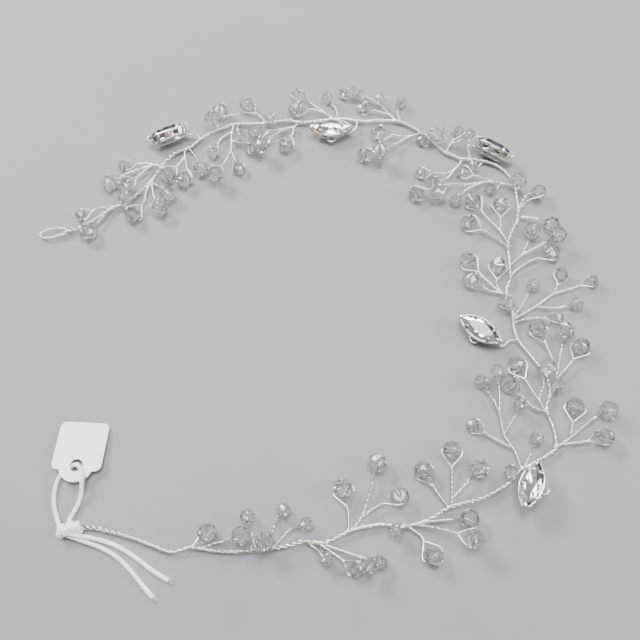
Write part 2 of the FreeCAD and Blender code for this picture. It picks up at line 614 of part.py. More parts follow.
def claw(name, x, side):
    """A claw against the crystal's edge at x along it; side 0 is at a tip."""
    length, width, thick = size["stone_length"], size["stone_width"], size["claw_width"]
    edge = Vector(x * length, side * lens_half_width(x * length, length, width), 0)
    out = Vector(edge.x * (CLAW_SPLAY if side else 1), edge.y, 0).normalize()
    turn = Rotation(Vector(1, 0, 0), out)
    block = doc.addObject("Part::Box", name)
    block.setExpression("Length", "sizes.claw_width")
    block.setExpression("Width", "sizes.claw_width")
    block.setExpression("Height", "sizes.crown / 2 + sizes.claw_sink")
    start = edge + out * (size["seat_gap"] + FACET_SPARE)
    block.Placement = Placement(start + turn.multVec(Vector(0, -thick / 2, -size["claw_sink"])), turn)
    return block


def channel_rod(name, radius, spare):
    """A rod along the channel under the setting, longer than it by this much at each end."""
    rod = doc.addObject("Part::Cylinder", name)
    rod.setExpression("Radius", radius)
    rod.Height = 2 * (channel_half + spare)
    rod.Placement = Placement(Vector(-channel_half - spare, 0, -channel_depth),
                              Rotation(Vector(0, 0, 1), Vector(1, 0, 0)))
    return rod


def side_loop(name):
    """Half a ring of wire that stands out from the middle of a setting's long side, at its base."""
    lip_width = size["stone_width"] + 2 * (size["setting_wall"] + size["seat_gap"])
    ring = doc.addObject("Part::Torus", name)
    ring.setExpression("Radius1", "sizes.side_loop")
    ring.setExpression("Radius2", "sizes.side_loop_wire / 2")
    ring.Angle3 = 180
    ring.Placement = Placement(Vector(0, (size["setting_wall"] - lip_width * size["setting_foot"]) / 2,
                                      size["side_loop_wire"] / 2 - base_depth),
                               Rotation(Vector(0, 0, 1), 180))
    return ring


def setting(name, stone):
    """Silver setting: a cup with windows, six claws, and a channel for the wire underneath."""
    length, width, wall, gap = (size[k] for k in ("stone_length", "stone_width", "setting_wall", "seat_gap"))
    lip_length, lip_width, foot = length + 2 * (wall + gap), width + 2 * (wall + gap), size["setting_foot"]
    outer = ruled_loft(name + "_outer", [
        lens_wire(name + "_foot", lip_length * foot, lip_width * foot, -base_depth),
        lens_wire(name + "_lip", lip_length, lip_width, 0),
    ])
    # the hollow clears the pavilion and stays open above
    hollow = ruled_loft(name + "_hollow", [
        lens_wire(name + "_seat", (lip_length - 4 * wall) * foot, (lip_width - 4 * wall) * foot,
                  -size["pavilion"] - gap),
        lens_wire(name + "_mouth", length + 2 * gap, width + 2 * gap, -gap),
        lens_wire(name + "_above", length + 2 * gap, width + 2 * gap, size["crown"]),
    ])
    windows = []
    for number, side in enumerate((-1, 1)):
        window = doc.addObject("Part::Box", f"{name}_window_{number}")
        window.setExpression("Length", "sizes.window_length")
        window.setExpression("Width", "sizes.stone_width * 2")
        window.setExpression("Height", "sizes.window_height")
        window.Placement.Base = Vector(side * length / 5 - size["window_length"] / 2, -width,
                                       -size["pavilion"] + size["claw_sink"])
        windows.append(window)
    metal = doc.addObject("Part::MultiFuse", name + "_metal")
    tube = channel_rod(name + "_channel", "sizes.stem_wire / 2 + sizes.channel_gap + sizes.setting_wall", 0)
    metal.Shapes = [outer, tube] + [claw(f"{name}_claw_{number}", x, side)
                                    for number, (x, side) in enumerate(CLAW_PLACES)]
    if "side_loop" in stone:
        metal.Shapes += [side_loop(name + "_side_loop")]
    space = doc.addObject("Part::MultiFuse", name + "_space")
    bore = channel_rod(name + "_bore", "sizes.stem_wire / 2 + sizes.channel_gap", 1)
    space.Shapes = [hollow, bore] + windows
    whole = doc.addObject("Part::Cut", name)
    whole.Base = metal
    whole.Tool = space
    return whole


for name in stone_wires:
    stone = SECTIONS[name]["stone"]
    for piece in (keep(crystal(f"crystal_{name}"), f"crystal_{name}"),
                  keep(setting(f"setting_{name}", stone), f"setting_{name}")):
        piece.Placement = stone_placement(stone)


# ---- string and tag ----
def string_path(points):
    """Straight runs joined by tangent arcs, each as large as its two runs allow. Returns wire and radii."""
    edges, radii, start = [], [], points[0]
    for before, corner, after in zip(points, points[1:], points[2:]):
        back, ahead = before - corner, after - corner
        reach = 0.45 * min(back.Length, ahead.Length)
        half_turn = (math.pi - back.getAngle(ahead)) / 2
        radii.append(reach / math.tan(half_turn))
        enter = corner + back.normalize() * reach
        leave = corner + ahead.normalize() * reach
        inward = (back + ahead).normalize()
        middle = corner + inward * (radii[-1] / math.cos(half_turn) - radii[-1])
        edges += [Part.LineSegment(start, enter).toShape(), Part.Arc(enter, middle, leave).toShape()]
        start = leave
    edges.append(Part.LineSegment(start, points[-1]).toShape())
    return Part.Wire(edges), radii


def cord_point(x, y, z):
    """The string hangs from the knot, so it keeps its own shape when the ring is stretched."""
    return knot_centre + Vector(x, y, z) - Vector(*KNOT["centre"])


knot_centre = laid(*KNOT["centre"][:2], KNOT["centre"][2])
for label, route in STRING_ROUTES.items():
    points = [cord_point(*p) for p in route]
    wire, radii = string_path(points)
    start = Part.Wire(Part.makeCircle(size["string_size"] / 2, points[0], points[1] - points[0]))
    tube = wire.makePipeShell([start], True, True)
    ratio = tube.Volume / (math.pi * size["string_size"] ** 2 / 4 * wire.Length)
    print(label, "length", round(wire.Length, 2), "volume ratio", round(ratio, 4),
          "radii", [round(r, 1) for r in radii])
    cord = doc.addObject("Part::Feature", label)
    cord.Shape = tube
    keep(cord, label)

knot_ball = doc.addObject("Part::Ellipsoid", "knot_ball")
knot_ball.Radius2, knot_ball.Radius3, knot_ball.Radius1 = KNOT["half"]  # along the wire, across it, up
wire_end = cores["last"]
along = (wire_end[-1] - wire_end[-2]).normalize()
knot_ball.Placement = Placement(knot_centre, Rotation(Vector(1, 0, 0), along))
# the wire's end lies in a flat hollow, so that the knot can swing on it
hollow = []
for number, swing in enumerate((-size["swing_out"], -size["swing_out"] / 2, 0, size["swing_in"])):
    tunnel = doc.addObject("Part::Cylinder", f"knot_tunnel_{number}")
    tunnel.setExpression("Radius", "sizes.vine_wire / 2 + sizes.channel_gap")
    tunnel.Height = KNOT["tunnel"]
    turn = Rotation(Vector(0, 0, 1), -swing)
    tunnel.Placement = Placement(wire_end[-1] + along * KNOT["past_end"],
                                 turn.multiply(Rotation(Vector(0, 0, 1), -along)))
    hollow.append(tunnel)
knot_hollow = doc.addObject("Part::MultiFuse", "knot_hollow")
knot_hollow.Shapes = hollow
knot = doc.addObject("Part::Cut", "string_knot")
knot.Base = knot_ball
knot.Tool = knot_hollow
keep(knot, "string_knot")

tag = doc.addObject("PartDesign::Body", "price_tag")
plane = [f for f in tag.Origin.OriginFeatures if f.Role == "XY_Plane"][0]


def tag_sketch(name, edges):
    sketch = tag.newObject("Sketcher::SketchObject", name)
    sketch.AttachmentSupport = [(plane, "")]
    sketch.MapMode = "FlatFace"
    for edge in edges:
        sketch.addGeometry(edge, False)
    return sketch


def tag_outline():
    """A rectangle with rounded corners and a lug at the end that has the hole. The hole is at 0, 0."""
    half, corner = size["tag_width"] / 2, size["tag_corner"]
    low, high = -size["tag_margin"], size["tag_length"] - size["tag_margin"]
    shoulder = half * TAG["shoulder"]
    spots = [(-half + corner, high - corner, 90), (-half + corner, low + corner, 180),
             (half - corner, low + corner, 270), (half - corner, high - corner, 0)]
    edges = [Part.ArcOfCircle(Part.Circle(Vector(x, y, 0), Vector(0, 0, 1), corner),
                              math.radians(start), math.radians(start + 90)) for x, y, start in spots]
    lug = [Vector(-shoulder, low, 0), Vector(0, low - size["tag_lug"], 0), Vector(shoulder, low, 0)]
    edges.append(Part.Arc(*lug))
    for ends in [((-half, high - corner), (-half, low + corner)), ((-half + corner, low), (-shoulder, low)),
                 ((shoulder, low), (half - corner, low)), ((half, low + corner), (half, high - corner)),
                 ((half - corner, high), (-half + corner, high))]:
        edges.append(Part.LineSegment(*[Vector(x, y, 0) for x, y in ends]))
    return edges


card = tag.newObject("PartDesign::Pad", "tag_card")
card.Profile = tag_sketch("tag_outline", tag_outline())
card.setExpression("Length", "sizes.tag_card")
hole_circle = Part.Circle(Vector(0, 0, 0), Vector(0, 0, 1), size["tag_hole"] / 2)
hole_sketch = tag_sketch("tag_hole_sketch", [hole_circle])
hole_sketch.addConstraint(Sketcher.Constraint("Diameter", 0, size["tag_hole"]))
hole_sketch.setExpression("Constraints[0]", "sizes.tag_hole")
punch = tag.newObject("PartDesign::Pocket", "tag_hole")
punch.Profile = hole_sketch
punch.Type = "ThroughAll"
punch.Midplane = True
tag_turn = Rotation(Vector(0, 0, 1), TAG["turn"]).multiply(Rotation(Vector(1, 0, 0), TAG["tilt"]))
tag.Placement = Placement(cord_point(*TAG["hole"], TAG["height"]), tag_turn)
keep(tag, "price_tag")

doc.recompute()
failed = [o.Name for o in doc.Objects if "Invalid" in o.State or "Error" in o.State]
if failed:
    raise RuntimeError(f"not built: {failed}")
for piece in kept:
    if piece.Shape.isNull() or not piece.Shape.isValid() or piece.Shape.Volume <= 0:
        raise RuntimeError(f"{piece.Label} has no valid solid")
for number, hinge in enumerate(hinges, 1):
    print("hinge", number, [round(v, 3) for v in hinge])
for name in stone_wires:
    place = stone_placement(SECTIONS[name]["stone"])
    print("stone hinge", name, [round(v, 3) for v in place.multVec(Vector(0, 0, -channel_depth))],
          [round(v, 4) for v in place.Rotation.multVec(Vector(1, 0, 0))])
print("eye", [round(v, 3) for v in (eye[0] + eye[2]) * 0.5])
print("string hinge", [round(v, 3) for v in wire_end[-1]])
print("tag hinge", [round(v, 3) for v in tag.Placement.Base],
      [round(v, 4) for v in tag.Placement.Rotation.multVec(Vector(0, 0, 1))])
box = FreeCAD.BoundBox()
for piece in kept:
    piece.Shape.exportStep(f"parts/{piece.Label}.step")
    if not piece.Label.startswith("string") and piece.Label != "price_tag":
        box.add(piece.Shape.BoundBox)
print(len(kept), "nodes, vine box", [round(v, 2) for v in (box.XMin, box.XMax, box.YMin, box.YMax)],
      [round(v, 2) for v in (box.ZMin, box.ZMax)])
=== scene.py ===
import math
import random

import bmesh
import bpy
import numpy as np
from mathutils import Matrix, Vector


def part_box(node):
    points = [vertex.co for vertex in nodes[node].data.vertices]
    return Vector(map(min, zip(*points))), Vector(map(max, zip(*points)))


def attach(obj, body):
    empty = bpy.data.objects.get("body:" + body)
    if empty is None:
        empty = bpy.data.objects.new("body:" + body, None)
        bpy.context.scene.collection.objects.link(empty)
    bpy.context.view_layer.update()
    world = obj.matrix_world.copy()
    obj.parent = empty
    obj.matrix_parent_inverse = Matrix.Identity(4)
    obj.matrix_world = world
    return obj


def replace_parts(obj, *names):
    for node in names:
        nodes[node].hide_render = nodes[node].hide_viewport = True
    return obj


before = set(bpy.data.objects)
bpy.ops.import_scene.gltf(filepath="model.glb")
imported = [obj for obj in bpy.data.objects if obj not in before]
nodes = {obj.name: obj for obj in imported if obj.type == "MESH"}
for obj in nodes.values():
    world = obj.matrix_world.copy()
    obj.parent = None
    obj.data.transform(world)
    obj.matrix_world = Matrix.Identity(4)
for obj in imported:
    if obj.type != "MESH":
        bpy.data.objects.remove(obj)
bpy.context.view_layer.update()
mm = 0.001
fullTurn = 2 * math.pi
sections = ["first", "second", "third", "fourth", "fifth", "sixth", "seventh", "eighth", "ninth",
            "last"]
chance = random.Random(11)


# ---- shader helpers ----
class Socket:
    # an output of a node tree that can be used in sums
    def __init__(self, tree, output):
        self.tree = tree
        self.output = output

    def node(self, kind, out=0, feeds=None, **settings):
        made = self.tree.nodes.new(kind)
        for key, value in settings.items():
            setattr(made, key, value)
        for key, value in (feeds or {}).items():
            if isinstance(value, Socket):
                self.tree.links.new(value.output, made.inputs[key])
            else:
                made.inputs[key].default_value = value
        return Socket(self.tree, made.outputs[out])

    def maths(self, operation, *values):
        return self.node("ShaderNodeMath", feeds=dict(enumerate(values)), operation=operation)

    def __add__(self, other):
        return self.maths("ADD", self, other)

    def __mul__(self, other):
        return self.maths("MULTIPLY", self, other)

    def __radd__(self, other):
        return self.maths("ADD", other, self)

    def __rmul__(self, other):
        return self.maths("MULTIPLY", other, self)

    def between(self, low, high):
        # 0 below low, 1 above high
        return self.node("ShaderNodeMapRange", feeds={0: self, 1: low, 2: high})

    def mix(self, first, second):
        return self.node("ShaderNodeMix", out=2, feeds={0: self, 6: first, 7: second},
                         data_type="RGBA")

    def noise(self, scale, detail=3.0, roughness=0.5):
        return self.node("ShaderNodeTexNoise", feeds={"Vector": self, "Scale": scale,
                                                      "Detail": detail, "Roughness": roughness})

    def bump(self, distance, strength=1.0):
        return self.node("ShaderNodeBump", feeds={"Height": self, "Distance": distance,
                                                  "Strength": strength})


def newMaterial(name, **constants):
    # gives the material, its principled shader and the object's own coordinates
    made = bpy.data.materials.new(name)
    made.use_nodes = True
    shader = made.node_tree.nodes["Principled BSDF"]
    for key, value in constants.items():
        shader.inputs[key.replace("_", " ")].default_value = value
    place = Socket(made.node_tree, made.node_tree.nodes.new("ShaderNodeTexCoord").outputs["Object"])
    return made, shader, place


def drive(shader, **maps):
    for key, value in maps.items():
        value.tree.links.new(value.output, shader.inputs[key.replace("_", " ")])


# ---- mesh helpers ----
tiny = 1e-15
curveSteps = 12
# the lay and the spread of a twist vary slowly, over these many turns
slowLay, slowSpread = 1.7, 2.3


class Skin:
    # collects pieces into one mesh
    def __init__(self):
        self.points = []
        self.faces = []
        self.kinds = []
        self.smooth = []

    def add(self, points, faces, kind=0, smooth=True):
        base = len(self.points)
        self.points += [tuple(p) for p in points]
        self.faces += [[base + i for i in face] for face in faces]
        self.kinds += [kind] * len(faces)
        self.smooth += [smooth] * len(faces)

    def toObject(self, name, materials):
        mesh = bpy.data.meshes.new(name)
        mesh.from_pydata(self.points, [], self.faces)
        for material in materials:
            mesh.materials.append(material)
        mesh.polygons.foreach_set("material_index", self.kinds)
        mesh.polygons.foreach_set("use_smooth", self.smooth)
        mesh.update()
        obj = bpy.data.objects.new(name, mesh)
        bpy.context.scene.collection.objects.link(obj)
        return obj


def tube(path, radius, sides=6, closed=False):
    # a round tube along an array of points; radius is one number or one for each point
    path = np.asarray(path, float)
    count = len(path)
    radii = np.broadcast_to(np.asarray(radius, float), (count,))
    ahead = np.roll(path, -1, 0) - np.roll(path, 1, 0)
    if not closed:
        ahead[0], ahead[-1] = path[1] - path[0], path[-1] - path[-2]
    ahead /= np.linalg.norm(ahead, axis=1)[:, None] + tiny
    side = np.cross(ahead[0], (0, 0, 1))
    if np.linalg.norm(side) < 0.1:
        side = np.cross(ahead[0], (1, 0, 0))
    points = []
    angles = np.arange(sides) * fullTurn / sides
    for place, way, width in zip(path, ahead, radii):
        side = side - way * np.dot(side, way)
        side /= np.linalg.norm(side) + tiny
        up = np.cross(way, side)
        points += [place + width * (math.cos(a) * side + math.sin(a) * up) for a in angles]
    faces = []
    for ring in range(count if closed else count - 1):
        after = (ring + 1) % count
        for k in range(sides):
            j = (k + 1) % sides
            faces.append([ring * sides + k, ring * sides + j, after * sides + j,
                          after * sides + k])
    if not closed:
        faces.append(list(range(sides))[::-1])
        faces.append([(count - 1) * sides + k for k in range(sides)])
    return points, faces


def lengthsAlong(line):
    # how far along the line each of its points is
    steps = np.linalg.norm(np.diff(line, axis=0), axis=1)
    return np.concatenate([[0], np.cumsum(steps)])


def spaced(line, step, fewest):
    # the same line with its points at even steps
    travel = lengthsAlong(line)
    even = np.linspace(0, travel[-1], max(fewest, int(travel[-1] / step) + 1))
    return np.stack([np.interp(even, travel, line[:, k]) for k in range(3)], 1)


def smoothPath(points, step):
    # an even chain of points on a curve through all of these
    points = np.asarray(points, float)
    if len(points) < 3:
        curve = np.linspace(points[0], points[-1], curveSteps)
    else:
        ends = np.vstack([2 * points[0] - points[1], points, 2 * points[-1] - points[-2]])
        curve = []
        for a, b, c, d in zip(ends, ends[1:], ends[2:], ends[3:]):
            reach = np.linalg.norm(c - b)
            inward = (c - a) / (np.linalg.norm(c - a) + 1e-12) * reach
            onward = (d - b) / (np.linalg.norm(d - b) + 1e-12) * reach
            for t in np.linspace(0, 1, curveSteps, endpoint=False):
                curve.append((2 * t**3 - 3 * t**2 + 1) * b + (t**3 - 2 * t**2 + t) * inward
                             + (3 * t**2 - 2 * t**3) * c + (t**3 - t**2) * onward)
        curve = np.vstack([curve, points[-1]])
    return spaced(curve, step, 3)


def wound(path, offset, count, pitch, start=0.0, sway=0.0):
    # the centre lines of strands wound around a path
    path = np.asarray(path, float)
    ahead = np.gradient(path, axis=0)
    ahead /= np.linalg.norm(ahead, axis=1)[:, None] + tiny
    travel = lengthsAlong(path)
    wander = [chance.uniform(0, 6.28) for _ in range(4)]
    turn = start + fullTurn * travel / pitch
    turn = turn + sway * np.sin(travel / (slowLay * pitch) + wander[0])
    spread = offset * (1 + 0.5 * sway * np.sin(travel / (slowSpread * pitch) + wander[1]))
    side = np.cross(ahead[0], (0, 0, 1))
    sides = []
    for way in ahead:
        side = side - way * np.dot(side, way)
        side /= np.linalg.norm(side) + tiny
        sides.append(side.copy())
    sides = np.array(sides)
    ups = np.cross(ahead, sides)
    lines = []
    for number in range(count):
        angle = (turn + fullTurn * number / count)[:, None]
        lines.append(path + spread[:, None] * (np.cos(angle) * sides + np.sin(angle) * ups))
    return lines


# ---- reading the frame's wires ----
weld = 2e-6
rodSides = 8
ringReaches = (0.45, 0.7, 0.3, 0.9, 1.2, 0.26, 1.6)


def cornerRings(group):
    # a rod of the frame has eight corners at every bend, which lie close together
    for reach in ringReaches:
        left, rings = dict.fromkeys(group), []
        while left:
            seed = next(iter(left))
            del left[seed]
            ring, queue = [seed], [seed]
            while queue:
                near = queue.pop()
                for vert in [v for v in left if (v.co - near.co).length < reach * mm]:
                    del left[vert]
                    queue.append(vert)
                    ring.append(vert)
            rings.append(ring)
        if all(len(ring) == rodSides for ring in rings):
            return rings
    return None


def chainOf(rings):
    # puts rings in order along their rod, and says whether it is closed
    owner = {vert: k for k, ring in enumerate(rings) for vert in ring}
    nextTo = [set() for _ in rings]
    for k, ring in enumerate(rings):
        for vert in ring:
            for edge in vert.link_edges:
                nextTo[k].add(owner[edge.other_vert(vert)])
        nextTo[k].discard(k)
    ends = [k for k, near in enumerate(nextTo) if len(near) == 1]
    order = [ends[0] if ends else 0]
    while len(order) < len(rings):
        ahead = [k for k in nextTo[order[-1]] if k not in order]
        if not ahead:
            break
        order.append(ahead[0])
    return order, not ends


def routesOf(name):
    # every rod of a node: its centre line, whether it is closed, and its radius
    mesh = bmesh.new()
    mesh.from_mesh(nodes[name].data)
    bmesh.ops.remove_doubles(mesh, verts=mesh.verts, dist=weld)
    routes, seen = [], set()
    for vert in mesh.verts:
        if vert in seen:
            continue
        group, queue = [], [vert]
        seen.add(vert)
        while queue:
            here = queue.pop()
            group.append(here)
            for edge in here.link_edges:
                other = edge.other_vert(here)
                if other not in seen:
                    seen.add(other)
                    queue.append(other)
        rings = cornerRings(group)
        if rings is None:
            print("unread rod in", name, len(group))
            continue
        order, closed = chainOf(rings)
        middles = [sum((v.co for v in ring), Vector()) / rodSides for ring in rings]
        width = min((v.co - middles[k]).length for k, ring in enumerate(rings) for v in ring)
        line = [np.array(middles[k]) for k in order]
        routes.append({"line": line, "closed": closed, "radius": width})
    mesh.free()
    return routes


vineRoutes = {name: routesOf("vine_wire_" + name)[0]["line"] for name in sections}
stemRoutes = {name: routesOf("stem_wires_" + name) for name in sections
              if "stem_wires_" + name in nodes}
eyeRoute = routesOf("end_eye")[0]["line"]
stemCount = sum(len(routes) for routes in stemRoutes.values())
print("routes read:", len(vineRoutes), "stretches,", stemCount, "stems and loops")


# ---- materials ----
def silverMaterial(name, tone, gloss):
    # drawn or stamped silver plate: soft tone changes and fine scratches
    made, shader, place = newMaterial(name, Metallic=1.0)
    cloud = place.noise(260.0, 3.0)
    grain = place.noise(5200.0, 2.0)
    drive(shader,
          Base_Color=cloud.between(0.35, 0.68).mix((*[c * 0.86 for c in tone], 1), (*tone, 1)),
          Roughness=gloss + 0.12 * cloud + 0.05 * grain,
          Normal=grain.bump(0.00001, 0.5))
    return made


def glassMaterial(name, tone, clear):
    # clear is the share of light that goes through; the rest is the white of fine scratches
    made, shader, place = newMaterial(name, Transmission_Weight=clear, IOR=1.58)
    cloud = place.noise(190.0, 2.0)
    drive(shader,
          Base_Color=cloud.between(0.3, 0.7).mix((*[c * 0.965 for c in tone], 1), (*tone, 1)),
          Roughness=0.012 * cloud)
    return made


def foilMaterial():
    # the silvered back of a stone, which shows through its facets
    made, shader, place = newMaterial("stoneFoil", Metallic=1.0)
    cloud = place.noise(330.0, 2.0)
    drive(shader,
          Base_Color=cloud.between(0.35, 0.65).mix((0.97, 0.87, 0.8, 1), (1.0, 0.965, 0.93, 1)),
          Roughness=0.04 + 0.06 * cloud)
    return made


def cottonMaterial():
    made, shader, place = newMaterial("cottonString", Sheen_Weight=0.35, Sheen_Roughness=0.5)
    fibre = place.noise(2600.0, 4.0, 0.7)
    cloud = place.noise(320.0, 2.0)
    shade = (0.55 * fibre + 0.45 * cloud).between(0.3, 0.62)
    drive(shader,
          Base_Color=shade.mix((0.82, 0.81, 0.785, 1), (0.97, 0.965, 0.95, 1)),
          Roughness=0.78 + 0.2 * fibre,
          Normal=fibre.bump(0.00006, 0.8))
    return made


def cardMaterial():
    made, shader, place = newMaterial("tagCard", Specular_IOR_Level=0.35)
    fibre = place.noise(1900.0, 5.0, 0.65)
    cloud = place.noise(90.0, 2.0)
    shade = (0.5 * fibre + 0.5 * cloud).between(0.3, 0.66)
    drive(shader,
          Base_Color=shade.mix((0.9, 0.895, 0.885, 1), (0.97, 0.965, 0.955, 1)),
          Roughness=0.55 + 0.25 * fibre,
          Normal=fibre.bump(0.00003, 0.5))
    return made


wireSilver = silverMaterial("wireSilver", (0.97, 0.945, 0.905), 0.13)
settingSilver = silverMaterial("settingSilver", (0.97, 0.92, 0.86), 0.17)
beadGlass = glassMaterial("beadGlass", (0.985, 0.99, 0.99), 0.97)
stoneGlass = glassMaterial("stoneGlass", (1.0, 0.97, 0.945), 1.0)
stoneFoil = foilMaterial()
cotton = cottonMaterial()
card = cardMaterial()


# ---- the vine: strands twisted into one rope from the eye to the tagged end ----
rope = {"strands": 2, "radius": 0.32 * mm, "offset": 0.33 * mm, "pitch": 4.0 * mm, "sway": 0.3,
        "sides": 8, "step": 0.25 * mm, "overlap": 0.35 * mm, "looseEnd": 14 * mm,
        "looseness": 0.55}


def vinePath():
    # one chain through all the stretches, and where each stretch ends on it
    chain, cuts = [], []
    lastPoint = np.mean(eyeRoute, 0)
    for name in sections:
        line = vineRoutes[name]
        if np.linalg.norm(line[-1] - lastPoint) < np.linalg.norm(line[0] - lastPoint):
            line = line[::-1]
        vineRoutes[name] = line
        if chain:
            chain[-1] = (chain[-1] + line[0]) / 2
            cuts.append(chain[-1])
            line = line[1:]
        chain += list(line)
        lastPoint = chain[-1]
    return smoothPath(chain, rope["step"]), cuts


ropePath, ropeCuts = vinePath()
# the twist opens towards the tagged end
toEnd = np.linalg.norm(ropePath - ropePath[-1], axis=1)
ropeSpread = rope["offset"] * (1 + rope["looseness"] * np.clip(1 - toEnd / rope["looseEnd"], 0, 1))
ropeLines = wound(ropePath, ropeSpread, rope["strands"], rope["pitch"], sway=rope["sway"])
cutAt = [int(np.argmin(np.linalg.norm(ropePath - cut, axis=1))) for cut in ropeCuts]
cutAt = [0] + cutAt + [len(ropePath) - 1]


def addRope(skin, number):
    spare = int(rope["overlap"] / rope["step"]) + 1
    low = max(0, cutAt[number] - (spare if number else 0))
    high = min(len(ropePath), cutAt[number + 1] + spare + 1)
    for line in ropeLines:
        skin.add(*tube(line[low:high], rope["radius"], rope["sides"]))


# ---- side stems, the loops that hold the beads, and the wraps at their roots ----
pair = {"radius": 0.195 * mm, "offset": 0.225 * mm, "pitch": 3.2 * mm, "step": 0.2 * mm,
        "shortest": 0.85, "longest": 1.2, "sway": 0.22}
eye = {"pitch": pair["pitch"] * 1.3, "start": 0.4, "sway": 0.1}
wrap = {"turns": 2.6, "pitch": 0.42 * mm, "radius": 0.15 * mm, "stand": 0.66 * mm, "steps": 40,
        "near": 1.0 * mm, "margin": 4}
loop = {"foot": 0.5 * mm, "open": 1.6, "bow": 0.35 * mm, "neck": 0.65, "step": 0.25 * mm}


def addPair(skin, line):
    path = smoothPath(line, pair["step"])
    pitch = pair["pitch"] * chance.uniform(pair["shortest"], pair["longest"])
    for strand in wound(path, pair["offset"], 2, pitch, chance.uniform(0, 3.1), pair["sway"]):
        skin.add(*tube(strand, pair["radius"], 6))


def addWrap(skin, root):
    # a stem's wire goes a few times around the vine where it starts
    near = int(np.argmin(np.linalg.norm(ropePath - root, axis=1)))
    if np.linalg.norm(ropePath[near] - root) > wrap["near"]:
        return
    if not wrap["margin"] < near < len(ropePath) - wrap["margin"] - 1:
        return
    way = ropePath[near + 2] - ropePath[near - 2]
    way /= np.linalg.norm(way)
    side = np.cross(way, (0, 0, 1))
    side /= np.linalg.norm(side)
    up = np.cross(side, way)
    first = chance.uniform(0, 6.28)
    line = []
    for s in np.linspace(-0.5, 0.5, wrap["steps"]):
        angle = first + fullTurn * wrap["turns"] * s
        line.append(ropePath[near] + way * s * wrap["turns"] * wrap["pitch"]
                    + wrap["stand"] * (math.cos(angle) * side + math.sin(angle) * up))
    skin.add(*tube(line, wrap["radius"], 6))


def beadOf(route):
    # a loop's five corners: the twist's end, then two at each mouth of the bead's hole
    corners = route["line"]
    sides = [np.linalg.norm(corners[k] - corners[k - 1]) for k in range(5)]
    reach = [min(sides[k], sides[(k + 1) % 5]) for k in range(5)]
    tip = max(range(5), key=lambda k: reach[k])
    ring = [corners[(tip + k) % 5] for k in range(5)]
    hole = ring[2] - ring[3]
    length = np.linalg.norm(hole)
    return {"ring": ring, "centre": (ring[2] + ring[3]) / 2, "hole": hole / length,
            "reach": length / 2 - 2 * route["radius"], "toward": ring[0] - (ring[2] + ring[3]) / 2}


def addLoop(skin, bead):
    tip, nearA, mouthA, mouthB, nearB = bead["ring"]
    back = bead["toward"] / np.linalg.norm(bead["toward"])
    foot = tip + back * loop["foot"]
    across = bead["hole"] * pair["offset"]

    def between(start, end, share):
        return start * (1 - share) + end * share

    line = [foot + across, tip + across * loop["open"], nearA + back * loop["bow"],
            between(nearA, mouthA, loop["neck"])]
    line += [between(mouthA, mouthB, share) for share in (0.1, 0.4, 0.6, 0.9)]
    line += [between(nearB, mouthB, loop["neck"]), nearB + back * loop["bow"],
             tip - across * loop["open"], foot - across]
    skin.add(*tube(smoothPath(line, loop["step"]), pair["radius"], 6))


# ---- beads: cut glass bicones with a narrow waist and two rows of facets on each half ----
cut = {"facets": 8, "slender": 0.9, "mouth": 0.77 * mm, "bore": 0.4 * mm, "boreRise": 0.97,
       "waistRise": 0.05, "shoulder": 0.78, "shoulderRise": 0.6}


def addBead(skin, bead):
    radius = bead["reach"] / cut["slender"]
    axis = Vector(bead["hole"])
    turn = axis.to_track_quat("Z", "Y").to_matrix()
    turn = turn @ Matrix.Rotation(chance.uniform(0, 1.0), 3, "Z")
    count = cut["facets"]
    points, faces = [], []
    half = bead["reach"]

    def ring(height, width, twist):
        first = len(points)
        for k in range(count):
            angle = fullTurn * (k + twist) / count
            points.append((width * math.cos(angle), width * math.sin(angle), height))
        return list(range(first, first + count))

    rows = {}
    for side in (-1, 1):
        reach = side * half
        bore = ring(reach * cut["boreRise"], cut["bore"], 0)
        mouth = ring(reach, cut["mouth"], 0)
        shoulder = ring(reach * cut["shoulderRise"], radius * cut["shoulder"], 0.5)
        waist = ring(reach * cut["waistRise"], radius, 0)
        rows[side] = waist, bore
        for k in range(count):
            j = (k + 1) % count
            new = [[mouth[k], mouth[j], shoulder[k]], [shoulder[k], waist[j], waist[k]],
                   [mouth[j], shoulder[j], waist[j], shoulder[k]],
                   [bore[k], bore[j], mouth[j], mouth[k]]]
            faces += new if side < 0 else [f[::-1] for f in new]
    (low, lowBore), (high, highBore) = rows[-1], rows[1]
    for k in range(count):
        j = (k + 1) % count
        faces.append([low[k], low[j], high[j], high[k]])
        faces.append([lowBore[j], lowBore[k], highBore[k], highBore[j]])
    centre = Vector(bead["centre"])
    skin.add([centre + turn @ Vector(p) for p in points], faces, smooth=False)


def buildSection(number, name):
    wires, beads = Skin(), Skin()
    addRope(wires, number)
    body = "vine_" + name
    for route in stemRoutes.get(name, []):
        if route["closed"]:
            bead = beadOf(route)
            addLoop(wires, bead)
            addBead(beads, bead)
        else:
            line = route["line"]
            addPair(wires, line)
            for end in (line[0], line[-1]):
                addWrap(wires, end)
    if number == 0:
        addEye(wires)
    wireNodes = [n for n in ("vine_wire_" + name, "stem_wires_" + name) if n in nodes]
    wireNodes += ["end_eye"] if number == 0 else []
    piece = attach(wires.toObject("twistedWires_" + name, [wireSilver]), body)
    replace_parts(piece, *wireNodes)
    if beads.points:
        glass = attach(beads.toObject("cutBeads_" + name, [beadGlass]), body)
        beadNodes = [n for n in ("large_beads_" + name, "small_beads_" + name) if n in nodes]
        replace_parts(glass, *beadNodes)


def addEye(skin):
    # the free end's narrow eye: a pair of strands bent back on itself
    line = [np.array(p) for p in eyeRoute]
    path = smoothPath(line + [line[0], line[1]], pair["step"])
    for strand in wound(path, pair["offset"], 2, eye["pitch"], eye["start"], eye["sway"]):
        skin.add(*tube(strand, pair["radius"], 6))


for number, name in enumerate(sections):
    buildSection(number, name)
print("vine, stems and beads made")


